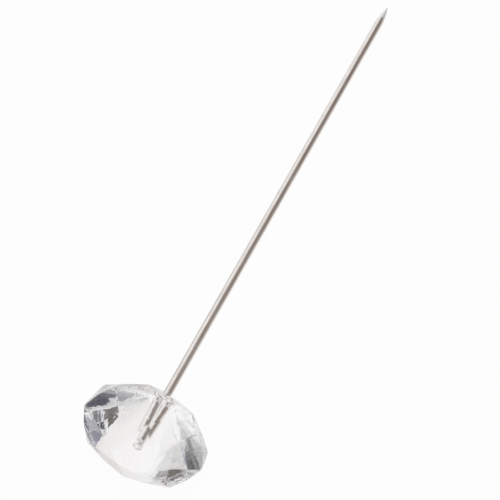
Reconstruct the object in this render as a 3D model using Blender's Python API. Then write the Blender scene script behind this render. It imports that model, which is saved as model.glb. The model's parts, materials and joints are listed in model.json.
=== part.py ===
"""Diamond head pin: a pointed steel wire bonded into a clear, brilliant-cut plastic head.

The pin lies on a flat surface, as it would on a desk: one side of the head's girdle and the
shoulder of the wire's point touch it. Each piece is modelled upright about the pin's own axis, table up and
point down, with z = 0 at the upper edge of the girdle.
"""

import math

import bmesh
import bpy
from mathutils import Matrix, Vector

MM = 0.001

# The head, cut with eight main facets round the axis. Its outline has eight corners and, between
# them, eight blunter ones under the main facets. It is moulded in two halves that meet in the
# girdle band, and the lower half sits turned against the upper one. The pin lies on the wider
# side that this leaves between an upper and a lower corner, so that side faces -y.
HEAD_ACROSS = 8.66 * MM
BLUNT_CORNER_ACROSS = 8.27 * MM
LOWER_BLUNT_ACROSS = 8.40 * MM
TABLE_ACROSS = 3.18 * MM
STAR_TIP_ACROSS = 5.51 * MM
CROWN_ANGLE = math.radians(34.2)
GIRDLE_BAND = 0.53 * MM
PAVILION_ANGLE = math.radians(41.9)
CULET_FLAT = 1.14 * MM
MAIN_FACETS = 8
LOWER_HALF_TURN = math.radians(16.0)
FLAT_ANGLE = math.radians(0.5)

# The wire and its ground point.
OVERALL_LENGTH = 50.8 * MM
WIRE_DIAMETER = 0.6 * MM
WIRE_TOP_RISE = 0.2 * MM
WIRE_END_CHAMFER = 0.06 * MM
POINT_LENGTH = 2.2 * MM
POINT_FULLNESS = 1.6
POINT_STEPS = 8

# The socket in the head and the adhesive that fills it.
SOCKET_DIAMETER = 0.9 * MM
ADHESIVE_BED = 0.14 * MM
COLLAR_DIAMETER = 1.0 * MM
COLLAR_HEIGHT = 0.28 * MM
COLLAR_STEPS = 4
FIT_GAP = 0.02 * MM

ROUND_SIDES = 32
WELD = 0.0001 * MM
SHARP_ANGLE = math.radians(30)

HEAD_RADIUS = HEAD_ACROSS / 2
BLUNT_RADIUS = BLUNT_CORNER_ACROSS / 2
WIRE_RADIUS = WIRE_DIAMETER / 2
SOCKET_RADIUS = SOCKET_DIAMETER / 2
HALF_STEP = math.pi / MAIN_FACETS
UPPER_CORNER = HALF_STEP - LOWER_HALF_TURN / 2
LOWER_CORNER = UPPER_CORNER + LOWER_HALF_TURN
CROWN_HEIGHT = (BLUNT_RADIUS - TABLE_ACROSS / 2) * math.tan(CROWN_ANGLE)
CULET_Z = -GIRDLE_BAND - (HEAD_RADIUS - CULET_FLAT / 2) * math.tan(PAVILION_ANGLE)
TIP_Z = CROWN_HEIGHT - OVERALL_LENGTH
WIRE_TOP_Z = WIRE_TOP_RISE
SOCKET_TOP_Z = WIRE_TOP_Z + ADHESIVE_BED + 2 * FIT_GAP


def clear_scene():
    for old in list(bpy.data.objects):
        bpy.data.objects.remove(old)


def new_collection(name):
    collection = bpy.data.collections.new(name)
    bpy.context.scene.collection.children.link(collection)
    return collection


def new_material(name, colour, roughness, metallic=0.0, transmission=0.0, ior=1.5):
    material = bpy.data.materials.new(name)
    material.use_nodes = True
    shader = material.node_tree.nodes["Principled BSDF"]
    shader.inputs["Base Color"].default_value = (*colour, 1.0)
    shader.inputs["Roughness"].default_value = roughness
    shader.inputs["Metallic"].default_value = metallic
    shader.inputs["Transmission Weight"].default_value = transmission
    shader.inputs["IOR"].default_value = ior
    return material


def add_object(name, bm, collection, material=None):
    mesh = bpy.data.meshes.new(name)
    bm.to_mesh(mesh)
    bm.free()
    if material:
        mesh.materials.append(material)
    obj = bpy.data.objects.new(name, mesh)
    collection.objects.link(obj)
    return obj


def turned(profile):
    """A solid of revolution about z from (radius, height) points that start and end on the axis."""
    bm = bmesh.new()
    verts = [bm.verts.new((radius, 0.0, height)) for radius, height in profile]
    edges = [bm.edges.new(pair) for pair in zip(verts, verts[1:])]
    bmesh.ops.spin(
        bm,
        geom=verts + edges,
        cent=(0.0, 0.0, 0.0),
        axis=(0.0, 0.0, 1.0),
        angle=math.tau,
        steps=ROUND_SIDES,
        use_merge=True,
    )
    bmesh.ops.remove_doubles(bm, verts=bm.verts, dist=WELD)
    bmesh.ops.recalc_face_normals(bm, faces=bm.faces)
    return bm


def shade_round(obj):
    obj.data.shade_smooth()
    obj.data.set_sharp_from_angle(angle=SHARP_ANGLE)


def ring(bm, across, height, first_angle):
    """Eight corner points round the axis, the first of them at this angle from x."""
    turn = Matrix.Rotation(first_angle, 4, "Z") @ Matrix.Translation((0.0, 0.0, height))
    bmesh.ops.create_circle(bm, segments=MAIN_FACETS, radius=across / 2, matrix=turn)


def cut_head():
    """The cut: table, star, main and half facets, girdle band, pavilion and culet flat."""
    star_apothem = STAR_TIP_ACROSS / 2 * math.cos(HALF_STEP)
    star_height = (BLUNT_RADIUS - star_apothem) * math.tan(CROWN_ANGLE)
    culet_across = CULET_FLAT / math.cos(HALF_STEP)

    bm = bmesh.new()
    ring(bm, TABLE_ACROSS, CROWN_HEIGHT, UPPER_CORNER + HALF_STEP)
    ring(bm, STAR_TIP_ACROSS, star_height, UPPER_CORNER)
    ring(bm, HEAD_ACROSS, 0.0, UPPER_CORNER)
    ring(bm, BLUNT_CORNER_ACROSS, 0.0, UPPER_CORNER + HALF_STEP)
    ring(bm, HEAD_ACROSS, -GIRDLE_BAND, LOWER_CORNER)
    ring(bm, LOWER_BLUNT_ACROSS, -GIRDLE_BAND, LOWER_CORNER + HALF_STEP)
    ring(bm, culet_across, CULET_Z, LOWER_CORNER + HALF_STEP)
    bmesh.ops.convex_hull(bm, input=bm.verts)
    loose = [edge for edge in bm.edges if not edge.link_faces]
    bmesh.ops.delete(bm, geom=loose, context="EDGES")
    bmesh.ops.dissolve_limit(bm, angle_limit=FLAT_ANGLE, verts=bm.verts, edges=bm.edges)
    bmesh.ops.recalc_face_normals(bm, faces=bm.faces)
    return bm


def wire_profile():
    shoulder_z = TIP_Z + POINT_LENGTH
    profile = [
        (0.0, WIRE_TOP_Z),
        (WIRE_RADIUS - WIRE_END_CHAMFER, WIRE_TOP_Z),
        (WIRE_RADIUS, WIRE_TOP_Z - WIRE_END_CHAMFER),
    ]
    for step in range(POINT_STEPS + 1):
        along = step / POINT_STEPS
        radius = WIRE_RADIUS * (1.0 - along**POINT_FULLNESS)
        profile.append((radius, shoulder_z - along * POINT_LENGTH))
    return profile


def adhesive_profile():
    """A cup round the wire's end, closed above it, with a hollow fillet below the culet flat."""
    outer = SOCKET_RADIUS - FIT_GAP
    inner = WIRE_RADIUS + FIT_GAP
    collar = COLLAR_DIAMETER / 2
    seat_z = CULET_Z - FIT_GAP
    profile = [
        (0.0, SOCKET_TOP_Z - FIT_GAP),
        (outer, SOCKET_TOP_Z - FIT_GAP),
        (outer, seat_z),
        (collar, seat_z),
    ]
    for step in range(1, COLLAR_STEPS + 1):
        turn = step / COLLAR_STEPS * math.pi / 2
        radius = collar - (collar - inner) * math.sin(turn)
        profile.append((radius, seat_z - COLLAR_HEIGHT * (1.0 - math.cos(turn))))
    profile += [(inner, WIRE_TOP_Z + FIT_GAP), (0.0, WIRE_TOP_Z + FIT_GAP)]
    return profile


def socket_cutter_profile():
    mouth_z = CULET_Z - COLLAR_HEIGHT
    return [(0.0, SOCKET_TOP_Z), (SOCKET_RADIUS, SOCKET_TOP_Z), (SOCKET_RADIUS, mouth_z), (0.0, mouth_z)]


def lying_axes(pieces):
    """Side, length and up of the pin as it lies: on a face of its hull that spans head and point."""
    bm = bmesh.new()
    for piece in pieces:
        bm.from_mesh(piece.data)
    hull = bmesh.ops.convex_hull(bm, input=bm.verts)
    spanning = []
    for face in hull["geom"]:
        if isinstance(face, bmesh.types.BMFace):
            heights = [vert.co.z for vert in face.verts]
            if min(heights) < TIP_Z / 2 < max(heights):
                spanning.append(face)
    underside = min(spanning, key=lambda face: face.normal.y)
    up = -underside.normal
    point_way = Vector((0.0, 0.0, -1.0))
    length = (point_way - up * up.dot(point_way)).normalized()
    bm.free()
    return length.cross(up), length, up


def rest_on_surface(root, pieces):
    """Lays the pin down, point towards +y, and puts the origin at its bounding box's bottom centre."""
    root.rotation_euler = Matrix(lying_axes(pieces)).to_euler()
    bpy.context.view_layer.update()
    points = [piece.matrix_world @ vert.co for piece in pieces for vert in piece.data.vertices]
    low = Vector(map(min, *points))
    high = Vector(map(max, *points))
    root.location = (-(low.x + high.x) / 2, -(low.y + high.y) / 2, -low.z)


clear_scene()
parts = new_collection("diamond_head_pin")
cutters = new_collection("cutters")
cutters.hide_render = True

clear_plastic = new_material("clear_plastic", (0.97, 0.97, 0.97), 0.04, transmission=1.0, ior=1.49)
steel = new_material("nickelled_steel", (0.66, 0.62, 0.58), 0.22, metallic=1.0)
cured_adhesive = new_material("cured_adhesive", (0.86, 0.82, 0.76), 0.35, transmission=0.6, ior=1.5)

head = add_object("diamond_head", cut_head(), parts, clear_plastic)
wire = add_object("wire_shank", turned(wire_profile()), parts, steel)
adhesive = add_object("adhesive_bond", turned(adhesive_profile()), parts, cured_adhesive)
shade_round(wire)
shade_round(adhesive)

cutter = add_object("socket_cutter", turned(socket_cutter_profile()), cutters)
cutter.hide_render = True
cutter.display_type = "WIRE"
socket = head.modifiers.new("socket", "BOOLEAN")
socket.operation = "DIFFERENCE"
socket.solver = "EXACT"
socket.object = cutter

pin_root = bpy.data.objects.new("lying_pose", None)
parts.objects.link(pin_root)
for piece in (head, wire, adhesive, cutter):
    piece.parent = pin_root
rest_on_surface(pin_root, (head, wire, adhesive))
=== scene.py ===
# %% [markdown]
# # A diamond head pin
# The real object is a straight pin for flowers, ribbon and cloth: a stiff, bright steel wire with a
# ground point, and on its blunt end a clear plastic head cut like a gemstone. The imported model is
# loaded first and never moves. It says where the pin lies, so every piece made below takes its
# place from it. All lengths are in metres, and MM turns millimetres into them.

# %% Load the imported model
import json
import math

import bmesh
import bpy
from mathutils import Matrix, Vector, noise


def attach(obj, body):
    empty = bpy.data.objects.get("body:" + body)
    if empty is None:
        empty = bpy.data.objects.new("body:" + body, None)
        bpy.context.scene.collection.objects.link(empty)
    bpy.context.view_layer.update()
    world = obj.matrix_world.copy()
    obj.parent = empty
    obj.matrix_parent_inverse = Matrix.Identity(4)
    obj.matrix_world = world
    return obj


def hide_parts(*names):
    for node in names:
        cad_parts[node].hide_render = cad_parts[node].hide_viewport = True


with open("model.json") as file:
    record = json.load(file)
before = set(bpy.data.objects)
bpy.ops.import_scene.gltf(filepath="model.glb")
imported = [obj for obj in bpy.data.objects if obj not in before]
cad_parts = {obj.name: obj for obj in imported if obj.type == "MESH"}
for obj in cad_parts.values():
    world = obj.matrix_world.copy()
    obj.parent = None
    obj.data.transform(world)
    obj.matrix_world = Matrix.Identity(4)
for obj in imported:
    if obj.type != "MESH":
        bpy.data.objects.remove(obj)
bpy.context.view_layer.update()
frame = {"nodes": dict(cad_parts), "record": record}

MM = 0.001

# %% [markdown]
# ## The pin's own axis
# The pin lies on its side and dips towards its point, so it would be awkward to model in place. A
# maker would stand it upright in a chuck instead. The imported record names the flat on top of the
# head and the way that it faces, which is all that is needed to stand the pin up: each piece is
# modelled with that flat on top and the point below, and one matrix lays it down again. Heights
# count from the upper edge of the girdle, which lies below the flat by the height of the crown.

# %% Stand the pin up in a frame of its own
TABLE_ACROSS = 3.18 * MM
BLUNT_ACROSS = 8.27 * MM
CROWN_SLOPE = math.tan(math.radians(34.2))
crown_height = (BLUNT_ACROSS - TABLE_ACROSS) / 2 * CROWN_SLOPE
table_mount = next(mount for mount in frame["record"]["mounts"] if mount["name"] == "table_face")
head_up = Vector(table_mount["axis"]).normalized()
head_side = Vector((1.0, 0.0, 0.0))
head_back = head_up.cross(head_side)
girdle_centre = Vector(table_mount["pos_m"]) - head_up * crown_height
upright_axes = Matrix((head_side, head_back, head_up)).transposed().to_4x4()
lay_down = Matrix.Translation(girdle_centre) @ upright_axes
dip = math.asin(head_up.z)
print("the pin dips towards its point by", round(math.degrees(dip), 2), "degrees")

# %% [markdown]
# ## How the head is turned
# The head isn't round: its outline has eight corners, and the pin rests between two of them. The
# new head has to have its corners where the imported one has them. Instead of copying an angle, the
# script measures it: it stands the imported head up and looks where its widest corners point.

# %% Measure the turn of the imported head
HEAD_ACROSS = 8.66 * MM
STEP = math.radians(45)
GIRDLE_SLACK = 0.01 * MM
WIDEST_FROM = 0.495 * HEAD_ACROSS
stand_up = lay_down.inverted()
corner_angles = []
for vertex in frame["nodes"]["diamond_head"].data.vertices:
    place = stand_up @ vertex.co
    if abs(place.z) < GIRDLE_SLACK and place.xy.length > WIDEST_FROM:
        corner_angles.append(math.atan2(place.y, place.x) % STEP)
first_corner = sum(corner_angles) / len(corner_angles)
print(len(corner_angles), "corners, the first at", round(math.degrees(first_corner), 2), "degrees")


# %% [markdown]
# ## From a bmesh to a piece
# Every piece ends in the same few steps: lay the mesh down where the imported model lies, so that
# the object itself can stay at the origin, give it its finish, let it ride on the one body, and
# hide the imported solid that it stands for.

# %% A helper that finishes a piece
def finish_piece(name, bm, material, node):
    bmesh.ops.transform(bm, matrix=lay_down, verts=bm.verts)
    mesh = bpy.data.meshes.new(name)
    bm.to_mesh(mesh)
    bm.free()
    mesh.materials.append(material)
    piece = bpy.data.objects.new(name, mesh)
    bpy.context.scene.collection.objects.link(piece)
    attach(piece, "root")
    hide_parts(node)
    print(name, "has", len(mesh.vertices), "vertices and", len(mesh.polygons), "faces")
    return piece


# %% [markdown]
# ## Handling marks
# A pin is picked up by its head and pushed with a thumb, so the plastic, the wire and the glue all
# carry the same faint, cloudy film of fingerprints. One node group makes it for all three: a broad
# noise says where the film lies, and a finer one breaks it up. It reads Object coordinates, so
# the film stays where it is on the pin. Each finish tells the group how rough it is where it is
# clean and where it is handled most, and gets back its roughness.

# %% Find the film of handling marks
marks = bpy.data.node_groups.new("handling_marks", "ShaderNodeTree")
marks.interface.new_socket("Clean", in_out="INPUT", socket_type="NodeSocketFloat")
marks.interface.new_socket("Handled", in_out="INPUT", socket_type="NodeSocketFloat")
marks.interface.new_socket("Roughness", in_out="OUTPUT", socket_type="NodeSocketFloat")
nodes, links = marks.nodes, marks.links
coordinates = nodes.new("ShaderNodeTexCoord")
broad = nodes.new("ShaderNodeTexNoise")
broad.inputs["Scale"].default_value = 420.0
broad.inputs["Detail"].default_value = 2.0
fine = nodes.new("ShaderNodeTexNoise")
fine.inputs["Scale"].default_value = 3200.0
fine.inputs["Detail"].default_value = 3.0
patches = nodes.new("ShaderNodeMapRange")
patches.inputs["From Min"].default_value = 0.48
patches.inputs["From Max"].default_value = 0.72
broken = nodes.new("ShaderNodeMath")
broken.operation = "MULTIPLY"
for texture in (broad, fine):
    links.new(coordinates.outputs["Object"], texture.inputs["Vector"])
links.new(broad.outputs["Fac"], patches.inputs["Value"])
links.new(patches.outputs["Result"], broken.inputs[0])
links.new(fine.outputs["Fac"], broken.inputs[1])

# %% Turn the film into roughness
given = nodes.new("NodeGroupInput")
dulling = nodes.new("ShaderNodeMapRange")
links.new(broken.outputs["Value"], dulling.inputs["Value"])
links.new(given.outputs["Clean"], dulling.inputs["To Min"])
links.new(given.outputs["Handled"], dulling.inputs["To Max"])
links.new(dulling.outputs["Result"], nodes.new("NodeGroupOutput").inputs["Roughness"])
print("handling_marks has", len(nodes), "nodes")


# %% A helper that starts a finish
def new_finish(name, clean, handled):
    finish = bpy.data.materials.new(name)
    finish.use_nodes = True
    tree = finish.node_tree
    handling = tree.nodes.new("ShaderNodeGroup")
    handling.node_tree = marks
    handling.inputs["Clean"].default_value = clean
    handling.inputs["Handled"].default_value = handled
    place = tree.nodes.new("ShaderNodeTexCoord")
    return finish, tree.nodes, tree.links, tree.nodes["Principled BSDF"], handling, place


# %% [markdown]
# ## Clear plastic
# The head is moulded acrylic, as clear as glass but less dense, so its refractive index is a little
# lower. It isn't perfect: the facets shrank a little in the mould and are faintly wavy, which
# mottles what is seen through them, and the plastic has a slight tint, pinkish in one place and
# greenish in another. A flat glass shader would look like a computer's idea of a gem, so a soft
# noise bends the surface, another shifts the tint, and the film of handling dulls it in patches.

# %% Mix the clear plastic
clear_plastic, nodes, links, shader, handling, place = new_finish("clear_plastic", 0.0, 0.05)
shader.inputs["IOR"].default_value = 1.465
shader.inputs["Transmission Weight"].default_value = 1.0
tint_noise = nodes.new("ShaderNodeTexNoise")
tint_noise.inputs["Scale"].default_value = 260.0
tint_noise.inputs["Detail"].default_value = 1.0
tint = nodes.new("ShaderNodeValToRGB")
tint.color_ramp.elements[0].position = 0.38
tint.color_ramp.elements[0].color = (0.992, 0.972, 0.977, 1.0)
tint.color_ramp.elements[1].position = 0.64
tint.color_ramp.elements[1].color = (0.978, 0.990, 0.986, 1.0)
links.new(place.outputs["Object"], tint_noise.inputs["Vector"])
links.new(tint_noise.outputs["Fac"], tint.inputs["Fac"])
links.new(tint.outputs["Color"], shader.inputs["Base Color"])

# %% Dull it where it was handled and let its facets ripple
links.new(handling.outputs["Roughness"], shader.inputs["Roughness"])
ripple_noise = nodes.new("ShaderNodeTexNoise")
ripple_noise.inputs["Scale"].default_value = 700.0
ripple_noise.inputs["Detail"].default_value = 3.0
ripple = nodes.new("ShaderNodeBump")
ripple.inputs["Strength"].default_value = 1.0
ripple.inputs["Distance"].default_value = 0.024 * MM
links.new(place.outputs["Object"], ripple_noise.inputs["Vector"])
links.new(ripple_noise.outputs["Fac"], ripple.inputs["Height"])
links.new(ripple.outputs["Normal"], shader.inputs["Normal"])
print("clear_plastic has", len(nodes), "nodes")

# %% [markdown]
# ## The cut head
# The head is moulded in the form of a brilliant cut: a flat table, eight star facets round it,
# eight kite-shaped main facets and sixteen half facets below, then a narrow girdle and a plain
# eight-sided point. The two mould halves don't line up, so the lower half is turned against the
# upper one, and that turn gives the crossing lines that are seen through the table. Facets could be
# ground one by one with bisect_plane, but a cut stone is convex. So it is enough to place its
# corners, ring by ring, and to stretch a convex hull over them.

# %% Work out the heights and turns of the cut
LOWER_BLUNT_ACROSS = 8.13 * MM
STAR_TIP_ACROSS = 5.51 * MM
GIRDLE_BAND = 0.53 * MM
CULET_FLAT = 1.14 * MM
PAVILION_SLOPE = math.tan(math.radians(41.9))
LOWER_HALF_TURN = math.radians(16.0)
corner_to_flat = math.cos(STEP / 2)
star_tip_height = (BLUNT_ACROSS - STAR_TIP_ACROSS * corner_to_flat) / 2 * CROWN_SLOPE
culet_across = CULET_FLAT / corner_to_flat
culet_depth = GIRDLE_BAND + (HEAD_ACROSS - CULET_FLAT) / 2 * PAVILION_SLOPE
first_blunt = first_corner + STEP / 2
lower_corner = first_corner + LOWER_HALF_TURN
lower_blunt = lower_corner + STEP / 2
print("the crown is", round(crown_height / MM, 2), "mm high, the rest", round(culet_depth / MM, 2), "mm")


# %% Set out the corners of the cut
def corner_ring(bm, across, height, first_angle):
    place = Matrix.Rotation(first_angle, 4, "Z") @ Matrix.Translation((0.0, 0.0, height))
    bmesh.ops.create_circle(bm, segments=8, radius=across / 2, matrix=place)


stone = bmesh.new()
corner_ring(stone, TABLE_ACROSS, crown_height, first_blunt)
corner_ring(stone, STAR_TIP_ACROSS, star_tip_height, first_corner)
corner_ring(stone, HEAD_ACROSS, 0.0, first_corner)
corner_ring(stone, BLUNT_ACROSS, 0.0, first_blunt)
corner_ring(stone, HEAD_ACROSS, -GIRDLE_BAND, lower_corner)
corner_ring(stone, LOWER_BLUNT_ACROSS, -GIRDLE_BAND, lower_blunt)
corner_ring(stone, culet_across, -culet_depth, lower_blunt)
print(len(stone.verts), "corners set out")

# %% Stretch the facets over the corners
SAME_PLANE = math.radians(0.3)
bmesh.ops.convex_hull(stone, input=stone.verts)
loose = [edge for edge in stone.edges if not edge.link_faces]
bmesh.ops.delete(stone, geom=loose, context="EDGES")
bmesh.ops.dissolve_limit(stone, angle_limit=SAME_PLANE, verts=stone.verts, edges=stone.edges)
bmesh.ops.recalc_face_normals(stone, faces=stone.faces)
print("the cut has", len(stone.faces), "facets")

# %% [markdown]
# ## Soft edges
# A ground diamond has knife edges, but plastic never fills a mould that sharply. Each edge of this
# head is a narrow rounded strip that catches the light as a bright line. A bevel makes the strips.
# They are shaded smooth and the facets flat, so that a facet still mirrors as one plane.

# %% Round the edges and make the head
EDGE_ROUNDING = 0.06 * MM
rounding = bmesh.ops.bevel(
    stone,
    geom=stone.edges[:],
    offset=EDGE_ROUNDING,
    segments=3,
    profile=0.5,
    affect="EDGES",
    material=-1,
    clamp_overlap=True,
)
for face in stone.faces:
    face.smooth = False
for face in rounding["faces"]:
    face.smooth = True
print(len(rounding["faces"]), "faces in the rounded strips")
finish_piece("cut_head", stone, clear_plastic, "diamond_head")

# %% [markdown]
# ## Bright wire
# The wire is steel, drawn through a die and then nickelled. Drawing leaves fine streaks along the
# wire, nickel is a slightly warm grey, and the point is ground after plating, so bare steel shows
# there, paler, with marks that run round it. The streaks are a noise that is stretched along
# the wire. The wire dips, so a Mapping node first turns the coordinates to lie along it. An
# attribute on the mesh, named ground, says where the steel is bare. It is 1 at the point, where the
# steel is also rough, and 0.5 inside the head, where the wire was only cleaned for the glue.

# %% Draw streaks along the wire
nickelled_steel, nodes, links, shader, handling, place = new_finish("nickelled_steel", 0.12, 0.30)
shader.inputs["Metallic"].default_value = 1.0
along_wire = nodes.new("ShaderNodeMapping")
along_wire.inputs["Rotation"].default_value = (dip, 0.0, 0.0)
along_wire.inputs["Scale"].default_value = (1.0, 0.03, 1.0)
streaks = nodes.new("ShaderNodeTexNoise")
streaks.inputs["Scale"].default_value = 9000.0
streaks.inputs["Detail"].default_value = 3.0
nickel = nodes.new("ShaderNodeValToRGB")
nickel.color_ramp.elements[0].position = 0.36
nickel.color_ramp.elements[0].color = (0.80, 0.755, 0.72, 1.0)
nickel.color_ramp.elements[1].position = 0.62
nickel.color_ramp.elements[1].color = (0.93, 0.885, 0.85, 1.0)
links.new(place.outputs["Object"], along_wire.inputs["Vector"])
links.new(along_wire.outputs["Vector"], streaks.inputs["Vector"])
links.new(streaks.outputs["Fac"], nickel.inputs["Fac"])

# %% Bare the steel at the point
ground = nodes.new("ShaderNodeAttribute")
ground.attribute_name = "ground"
round_wire = nodes.new("ShaderNodeMapping")
round_wire.inputs["Rotation"].default_value = (dip, 0.0, 0.0)
round_wire.inputs["Scale"].default_value = (0.15, 1.0, 0.15)
grinding = nodes.new("ShaderNodeTexNoise")
grinding.inputs["Scale"].default_value = 14000.0
bare = nodes.new("ShaderNodeValToRGB")
bare.color_ramp.elements[0].color = (0.92, 0.91, 0.905, 1.0)
bare.color_ramp.elements[1].color = (0.98, 0.97, 0.965, 1.0)
cleaned = nodes.new("ShaderNodeMath")
cleaned.operation = "MULTIPLY"
cleaned.inputs[1].default_value = 2.0
cleaned.use_clamp = True
metal = nodes.new("ShaderNodeMix")
metal.data_type = "RGBA"
links.new(place.outputs["Object"], round_wire.inputs["Vector"])
links.new(round_wire.outputs["Vector"], grinding.inputs["Vector"])
links.new(grinding.outputs["Fac"], bare.inputs["Fac"])
links.new(ground.outputs["Fac"], cleaned.inputs[0])
links.new(cleaned.outputs["Value"], metal.inputs["Factor"])
links.new(nickel.outputs["Color"], metal.inputs["A"])
links.new(bare.outputs["Color"], metal.inputs["B"])
links.new(metal.outputs["Result"], shader.inputs["Base Color"])

# %% Dull and groove the metal
scuffed = nodes.new("ShaderNodeMapRange")
scuffed.inputs["From Min"].default_value = 0.5
scuffed.inputs["To Min"].default_value = 0.0
scuffed.inputs["To Max"].default_value = 0.35
dulled = nodes.new("ShaderNodeMath")
dulled.operation = "ADD"
grooves = nodes.new("ShaderNodeBump")
grooves.inputs["Strength"].default_value = 1.0
grooves.inputs["Distance"].default_value = 0.0008 * MM
links.new(ground.outputs["Fac"], scuffed.inputs["Value"])
links.new(handling.outputs["Roughness"], dulled.inputs[0])
links.new(scuffed.outputs["Result"], dulled.inputs[1])
links.new(dulled.outputs["Value"], shader.inputs["Roughness"])
links.new(streaks.outputs["Fac"], grooves.inputs["Height"])
links.new(grooves.outputs["Normal"], shader.inputs["Normal"])
print("nickelled_steel has", len(nodes), "nodes")

# %% [markdown]
# ## The wire and its point
# The wire runs from inside the head to the point in one piece. Its upper end was cropped and has a
# small chamfer, and the point swells gently before it closes, as a ground point does. That is a
# turned shape, so half of its outline is drawn once and spun round the axis. A cylinder and a cone
# would leave a hard kink where the point starts. The straight part is cut into short lengths: smooth
# shading blends the normals along each face, and on one long face the chamfer would bend them all.

# %% Draw half of the wire's outline
OVERALL_LENGTH = 50.8 * MM
WIRE_RADIUS = 0.30 * MM
WIRE_TOP = 0.20 * MM
END_CHAMFER = 0.06 * MM
POINT_LENGTH = 2.2 * MM
POINT_FULLNESS = 1.6
POINT_STEPS = 18
SHANK_STEPS = 60
shank_top = WIRE_TOP - END_CHAMFER
tip = crown_height - OVERALL_LENGTH
shoulder = tip + POINT_LENGTH
outline = [(0.0, WIRE_TOP), (WIRE_RADIUS - END_CHAMFER, WIRE_TOP), (WIRE_RADIUS, shank_top)]
outline.append((WIRE_RADIUS, shank_top - END_CHAMFER))
for step in range(1, SHANK_STEPS):
    outline.append((WIRE_RADIUS, shank_top + (shoulder - shank_top) * step / SHANK_STEPS))
for step in range(POINT_STEPS + 1):
    along = step / POINT_STEPS
    outline.append((WIRE_RADIUS * (1.0 - along**POINT_FULLNESS), shoulder - POINT_LENGTH * along))
print("the outline has", len(outline), "points")


# %% Spin the outline round the axis
WELD = 0.0001 * MM
WIRE_SIDES = 64


def spun(outline, sides):
    bm = bmesh.new()
    verts = [bm.verts.new((radius, 0.0, height)) for radius, height in outline]
    edges = [bm.edges.new(pair) for pair in zip(verts, verts[1:])]
    axis = (0.0, 0.0, 1.0)
    bmesh.ops.spin(bm, geom=verts + edges, axis=axis, angle=math.tau, steps=sides, use_merge=True)
    bmesh.ops.remove_doubles(bm, verts=bm.verts, dist=WELD)
    bmesh.ops.recalc_face_normals(bm, faces=bm.faces)
    for face in bm.faces:
        face.smooth = True
    return bm


wire = spun(outline, WIRE_SIDES)
print("the wire has", len(wire.faces), "faces")

# %% Mark the bare steel and make the wire
GROUND_SHARE = 0.80
GROUND_BLEND = 0.25 * MM
CLEANED = 0.5
ground_from = tip + GROUND_SHARE * POINT_LENGTH
ground_layer = wire.verts.layers.float.new("ground")
for vert in wire.verts:
    at_point = min(max((ground_from - vert.co.z) / GROUND_BLEND, 0.0), 1.0)
    in_head = CLEANED if vert.co.z > -culet_depth else 0.0
    vert[ground_layer] = max(at_point, in_head)
finish_piece("drawn_wire", wire, nickelled_steel, "wire_shank")


# %% [markdown]
# ## Glue
# A drop of clear glue holds the wire in the head. It has yellowed a little, and it shows as a warm
# patch where the wire goes in. Inside the head the glue lies between plastic and wire, so only the
# small step in density from plastic to glue bends the light there. Below the head the glue meets
# air. A shader's index is always the ratio across its own surface, so the two places need two
# finishes. Both are slightly cloudy, and the thicker drop in the air is the warmer one.

# %% Mix the glue
def glue_finish(name, index, warm):
    finish, nodes, links, shader, handling, place = new_finish(name, 0.04, 0.22)
    shader.inputs["IOR"].default_value = index
    shader.inputs["Transmission Weight"].default_value = 1.0
    cloud = nodes.new("ShaderNodeTexNoise")
    cloud.inputs["Scale"].default_value = 2400.0
    cloud.inputs["Detail"].default_value = 3.0
    warmth = nodes.new("ShaderNodeValToRGB")
    warmth.color_ramp.elements[0].position = 0.35
    warmth.color_ramp.elements[0].color = (*warm, 1.0)
    warmth.color_ramp.elements[1].position = 0.68
    warmth.color_ramp.elements[1].color = (0.990, 0.976, 0.970, 1.0)
    dimples = nodes.new("ShaderNodeBump")
    dimples.inputs["Strength"].default_value = 1.0
    dimples.inputs["Distance"].default_value = 0.004 * MM
    links.new(place.outputs["Object"], cloud.inputs["Vector"])
    links.new(cloud.outputs["Fac"], warmth.inputs["Fac"])
    links.new(warmth.outputs["Color"], shader.inputs["Base Color"])
    links.new(handling.outputs["Roughness"], shader.inputs["Roughness"])
    links.new(cloud.outputs["Fac"], dimples.inputs["Height"])
    links.new(dimples.outputs["Normal"], shader.inputs["Normal"])
    print(name, "has", len(nodes), "nodes")
    return finish


PLASTIC_TO_GLUE = 1.005
AIR_TO_GLUE = 1.50
glue_in_head = glue_finish("cured_glue_in_head", PLASTIC_TO_GLUE, (0.975, 0.955, 0.945))
glue_in_air = glue_finish("cured_glue_in_air", AIR_TO_GLUE, (0.930, 0.865, 0.840))


# %% [markdown]
# ## The glue round the wire
# Two pieces of glue stand for the one drop: a thin, uneven sleeve in the socket, and a small fillet
# that crept out below the head and climbed the wire. Both are turned shapes that were never quite
# round, so they are spun first and then pushed in and out a little by a smooth noise.

# %% A helper that makes a turned shape uneven
def unevened(bm, amount, grain):
    for vert in bm.verts:
        sideways = Vector((vert.co.x, vert.co.y, 0.0))
        if sideways.length > WIRE_RADIUS:
            push = amount * noise.noise(vert.co / grain)
            vert.co += sideways.normalized() * push
    return bm


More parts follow.
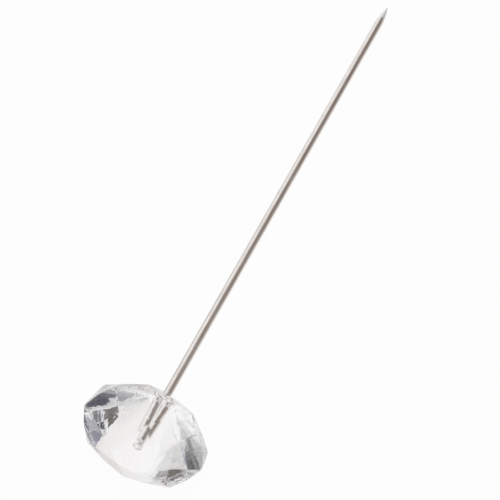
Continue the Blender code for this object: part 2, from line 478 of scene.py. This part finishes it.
# %% Fill the socket
SLEEVE_RADIUS = 0.325 * MM
SLEEVE_TOP = WIRE_TOP + 0.10 * MM
SLEEVE_STEPS = 30
GLUE_SIDES = 40
GLUE_UNEVENNESS = 0.03 * MM
sleeve_brow = (0.7 * SLEEVE_RADIUS, SLEEVE_TOP - 0.03 * MM)
sleeve_shoulder = SLEEVE_TOP - 0.12 * MM
sleeve_foot = -culet_depth + 0.03 * MM
sleeve_fall = (sleeve_foot - sleeve_shoulder) / SLEEVE_STEPS
sleeve_outline = [(0.0, SLEEVE_TOP), sleeve_brow]
for step in range(SLEEVE_STEPS + 1):
    sleeve_outline.append((SLEEVE_RADIUS, sleeve_shoulder + sleeve_fall * step))
sleeve_outline.append((0.0, sleeve_foot))
sleeve = unevened(spun(sleeve_outline, GLUE_SIDES), GLUE_UNEVENNESS, 0.5 * MM)
finish_piece("glue_sleeve", sleeve, glue_in_head, "adhesive_bond")

# %% Turn the fillet below the head
FILLET_RADIUS = 0.50 * MM
FILLET_HEIGHT = 0.28 * MM
FILLET_STEPS = 8
fillet_seat = -culet_depth - 0.01 * MM
fillet_bore = 0.90 * WIRE_RADIUS
fillet_edge = 0.95 * WIRE_RADIUS
fillet_outline = [(fillet_bore, fillet_seat), (FILLET_RADIUS, fillet_seat)]
for step in range(1, FILLET_STEPS + 1):
    turn = step / FILLET_STEPS * math.pi / 2
    reach = FILLET_RADIUS - (FILLET_RADIUS - fillet_edge) * math.sin(turn)
    fillet_outline.append((reach, fillet_seat - FILLET_HEIGHT * (1.0 - math.cos(turn))))
fillet_outline.append(fillet_outline[0])
fillet = unevened(spun(fillet_outline, GLUE_SIDES), GLUE_UNEVENNESS, 0.4 * MM)
finish_piece("glue_fillet", fillet, glue_in_air, "adhesive_bond")

# %% [markdown]
# ## The sheet that it lies on
# Clear things are photographed on a clear sheet, high above a white card, so that light comes
# through them from below as well. To the camera this sheet is plain white and keeps a soft shadow.
# Light Path lets the glass and the metal look through it, to the white surroundings.

# %% Lay the sheet
SHEET_HALF = 2.0
SHEET_DROP = 0.02 * MM
sheet_bm = bmesh.new()
bmesh.ops.create_grid(sheet_bm, x_segments=1, y_segments=1, size=SHEET_HALF)
bmesh.ops.translate(sheet_bm, verts=sheet_bm.verts, vec=(0.0, 0.0, -SHEET_DROP))
sheet_mesh = bpy.data.meshes.new("white_sheet")
sheet_bm.to_mesh(sheet_mesh)
sheet_bm.free()
sheet = bpy.data.objects.new("white_sheet", sheet_mesh)
bpy.context.scene.collection.objects.link(sheet)
print("the sheet is", [round(side, 1) for side in sheet.dimensions[:2]], "m")

# %% Paint the sheet white for the camera
sheet_paint = bpy.data.materials.new("white_sheet")
sheet_paint.use_nodes = True
nodes, links = sheet_paint.node_tree.nodes, sheet_paint.node_tree.links
shader = nodes["Principled BSDF"]
shader.inputs["Base Color"].default_value = (0.95, 0.95, 0.95, 1.0)
shader.inputs["Roughness"].default_value = 0.8
white = nodes.new("ShaderNodeEmission")
path = nodes.new("ShaderNodeLightPath")
share = nodes.new("ShaderNodeMath")
share.operation = "MULTIPLY"
share.inputs[1].default_value = 0.95
to_camera = nodes.new("ShaderNodeMixShader")
links.new(path.outputs["Is Camera Ray"], share.inputs[0])
links.new(share.outputs["Value"], to_camera.inputs["Fac"])
links.new(shader.outputs["BSDF"], to_camera.inputs[1])
links.new(white.outputs["Emission"], to_camera.inputs[2])

# %% Let the pin look through the sheet
clear = nodes.new("ShaderNodeBsdfTransparent")
through = nodes.new("ShaderNodeMath")
through.operation = "MAXIMUM"
to_pin = nodes.new("ShaderNodeMixShader")
links.new(path.outputs["Is Glossy Ray"], through.inputs[0])
links.new(path.outputs["Is Transmission Ray"], through.inputs[1])
links.new(through.outputs["Value"], to_pin.inputs["Fac"])
links.new(to_camera.outputs["Shader"], to_pin.inputs[1])
links.new(clear.outputs["BSDF"], to_pin.inputs[2])
links.new(to_pin.outputs["Shader"], nodes["Material Output"].inputs["Surface"])
sheet_mesh.materials.append(sheet_paint)
print("white_sheet has", len(nodes), "nodes")

# %% [markdown]
# ## A white tent with grey flags
# A clear stone has no colour of its own: all that it shows is its surroundings, bent and mirrored.
# In a room that is white all over it would vanish. So clear things are photographed in a white tent,
# and a few grey cards, called flags, are held where the facets look. The tent is the world here, and
# each flag is a soft darker spot in it, with a direction, a tightness and a shade. One node group
# makes a flag, and the flags are strung one after the other between the white and the light.

# %% Name the sockets of a flag
flag = bpy.data.node_groups.new("soft_flag", "ShaderNodeTree")
flag.interface.new_socket("Light", in_out="INPUT", socket_type="NodeSocketColor")
flag.interface.new_socket("Direction", in_out="INPUT", socket_type="NodeSocketVector")
flag.interface.new_socket("Tightness", in_out="INPUT", socket_type="NodeSocketFloat")
flag.interface.new_socket("Shade", in_out="INPUT", socket_type="NodeSocketColor")
flag.interface.new_socket("Light", in_out="OUTPUT", socket_type="NodeSocketColor")
print("soft_flag has", len(flag.interface.items_tree), "sockets")

# %% Make the flag's soft spot
nodes, links = flag.nodes, flag.links
given = nodes.new("NodeGroupInput")
looking = nodes.new("ShaderNodeTexCoord")
nearness = nodes.new("ShaderNodeVectorMath")
nearness.operation = "DOT_PRODUCT"
apart = nodes.new("ShaderNodeMath")
apart.operation = "SUBTRACT"
apart.inputs[1].default_value = 1.0
steep = nodes.new("ShaderNodeMath")
steep.operation = "MULTIPLY"
spot = nodes.new("ShaderNodeMath")
spot.operation = "EXPONENT"
shaded = nodes.new("ShaderNodeMix")
shaded.data_type = "RGBA"
shaded.blend_type = "MULTIPLY"
links.new(looking.outputs["Generated"], nearness.inputs[0])
links.new(given.outputs["Direction"], nearness.inputs[1])
links.new(nearness.outputs["Value"], apart.inputs[0])
links.new(apart.outputs["Value"], steep.inputs[0])
links.new(given.outputs["Tightness"], steep.inputs[1])
links.new(steep.outputs["Value"], spot.inputs[0])
links.new(spot.outputs["Value"], shaded.inputs["Factor"])
links.new(given.outputs["Light"], shaded.inputs["A"])
links.new(given.outputs["Shade"], shaded.inputs["B"])
links.new(shaded.outputs["Result"], nodes.new("NodeGroupOutput").inputs["Light"])
print("soft_flag has", len(nodes), "nodes")

# %% Choose the flags by bearing, height, tightness and shade
FLAGS = {
    "right_low": (343, -11, 9, (0.03, 0.03, 0.06)),
    "camera_low": (286, 14, 20, (0.1, 0.085, 0.07)),
    "camera_high": (286, 42, 22, (0.11, 0.12, 0.2)),
    "left_high": (203, 60, 22, (0.02, 0.015, 0.015)),
    "left_mid": (222, 48, 45, (0.5, 0.49, 0.5)),
    "beyond_left": (146, -6, 22, (0.74, 0.74, 0.735)),
    "beyond_high": (147, 15, 25, (0.3, 0.29, 0.28)),
    "below_ahead": (92, -42, 9, (0.9, 0.88, 0.875)),
    "straight_below": (225, -80, 8, (0.4, 0.38, 0.36)),
    "beyond_right": (60, 20, 10, (0.18, 0.14, 0.12)),
    "right_below": (43, -10, 13, (0.36, 0.31, 0.28)),
    "overhead": (0, 85, 25, (0.35, 0.34, 0.33)),
    "left_low": (187, -6, 18, (0.3, 0.29, 0.28)),
}
print(len(FLAGS), "flags chosen")

# %% Hang the flags in the tent
PLAIN_WHITE = (1.0, 1.0, 1.0, 1.0)
tent = bpy.data.worlds.new("white_tent")
bpy.context.scene.world = tent
tent.use_nodes = True
nodes, links = tent.node_tree.nodes, tent.node_tree.links
last_flag = None
for name, (bearing, height, tightness, shade) in FLAGS.items():
    turn, rise = math.radians(bearing), math.radians(height)
    hung = nodes.new("ShaderNodeGroup")
    hung.node_tree = flag
    hung.label = name
    hung.inputs["Direction"].default_value = (
        math.cos(turn) * math.cos(rise),
        math.sin(turn) * math.cos(rise),
        math.sin(rise),
    )
    hung.inputs["Tightness"].default_value = tightness
    hung.inputs["Shade"].default_value = (*shade, 1.0)
    if last_flag:
        links.new(last_flag.outputs["Light"], hung.inputs["Light"])
    else:
        hung.inputs["Light"].default_value = PLAIN_WHITE
    last_flag = hung
print("the last flag in the tent is", last_flag.label)

# %% Show the camera plain white
path = nodes.new("ShaderNodeLightPath")
seen = nodes.new("ShaderNodeMix")
seen.data_type = "RGBA"
seen.inputs["B"].default_value = PLAIN_WHITE
links.new(path.outputs["Is Camera Ray"], seen.inputs["Factor"])
links.new(last_flag.outputs["Light"], seen.inputs["A"])
links.new(seen.outputs["Result"], nodes["Background"].inputs["Color"])
print("white_tent has", len(nodes), "nodes")

# %% [markdown]
# ## The camera
# The photograph looks down on the pin from the side of its head, with the point running away to
# the upper right. A long lens from far off keeps the pin's sides nearly parallel, as they are there.

# %% Set up the camera
CAMERA_PLACE = (0.087333, -0.152791, 0.150519)
CAMERA_TURN = (48.2910, 11.9193, 19.9727)
FOCAL_LENGTH = 239.22
camera_data = bpy.data.cameras.new("camera")
camera_data.sensor_width = 36.0
camera_data.lens = FOCAL_LENGTH
camera_data.clip_start = 0.01
camera = bpy.data.objects.new("camera", camera_data)
camera.location = CAMERA_PLACE
camera.rotation_euler = [math.radians(angle) for angle in CAMERA_TURN]
bpy.context.scene.collection.objects.link(camera)
bpy.context.scene.camera = camera
bpy.context.scene.view_settings.view_transform = "Standard"
print("camera at", [round(c, 3) for c in camera.location], "m")

# %% [markdown]
# ## Light inside the stone
# Light that enters a cut stone zigzags from facet to facet before it finds a way out. If the renderer
# gives up after a few turns, those places go black, and a clear stone seems cracked along its girdle.
# So the light may turn more often than the usual limits let it.

# %% Let light zigzag in the stone
limits = bpy.context.scene.cycles
limits.max_bounces = 24
limits.glossy_bounces = 16
limits.transmission_bounces = 24
print("light may turn", limits.max_bounces, "times")
